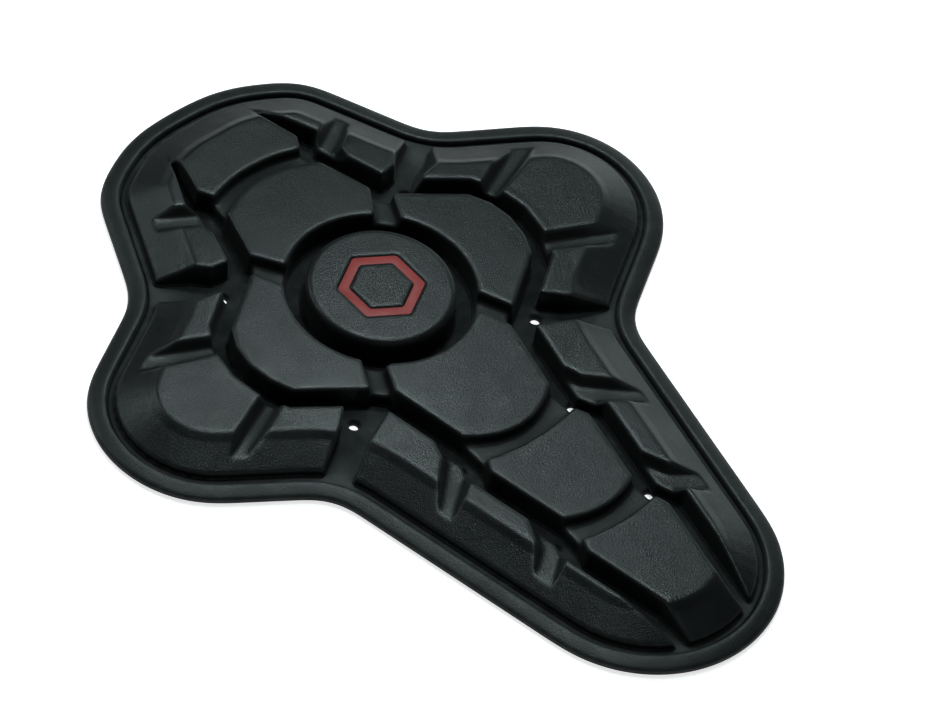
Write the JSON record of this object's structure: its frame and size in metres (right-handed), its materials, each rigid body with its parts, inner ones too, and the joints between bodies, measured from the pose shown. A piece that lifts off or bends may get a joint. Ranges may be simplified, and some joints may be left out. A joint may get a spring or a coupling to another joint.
{
  "type": "moulded hip impact pad",
  "caption": "One-piece moulded foam hip and thigh pad: raised blocks parted by flexing grooves around a round centre boss, on a thin backing sheet with a rolled rim.",
  "frame": {"origin": "on the flat back face, under the middle of the round boss", "axes": "+Z out of the body through the blocks' tops, +Y to the wide head end (up the hip), -Y to the tail (down the thigh), X across the arms"},
  "size_m": [0.1788, 0.2235, 0.0108],
  "materials": {
    "foam_skin": "satin moulded foam skin with a fine grain",
    "backing_skin": "satin moulded foam skin with a fine grain",
    "red_inlay": "matt printed red"
  },
  "bodies": {
    "root": {"backing_sheet": "backing_skin", "centre_boss": "foam_skin", "ring_block_head": "foam_skin", "ring_block_tail": "foam_skin", "ring_block_right": "foam_skin", "ring_block_left": "foam_skin", "head_block": "foam_skin", "tail_block_upper": "foam_skin", "tail_block_end": "foam_skin", "head_side_pad_right": "foam_skin", "head_side_pad_left": "foam_skin", "arm_pad_right": "foam_skin", "arm_pad_left": "foam_skin", "tail_side_pad_right": "foam_skin", "tail_side_pad_left": "foam_skin", "boss_inlay": "red_inlay"}
  },
  "joints": []
}
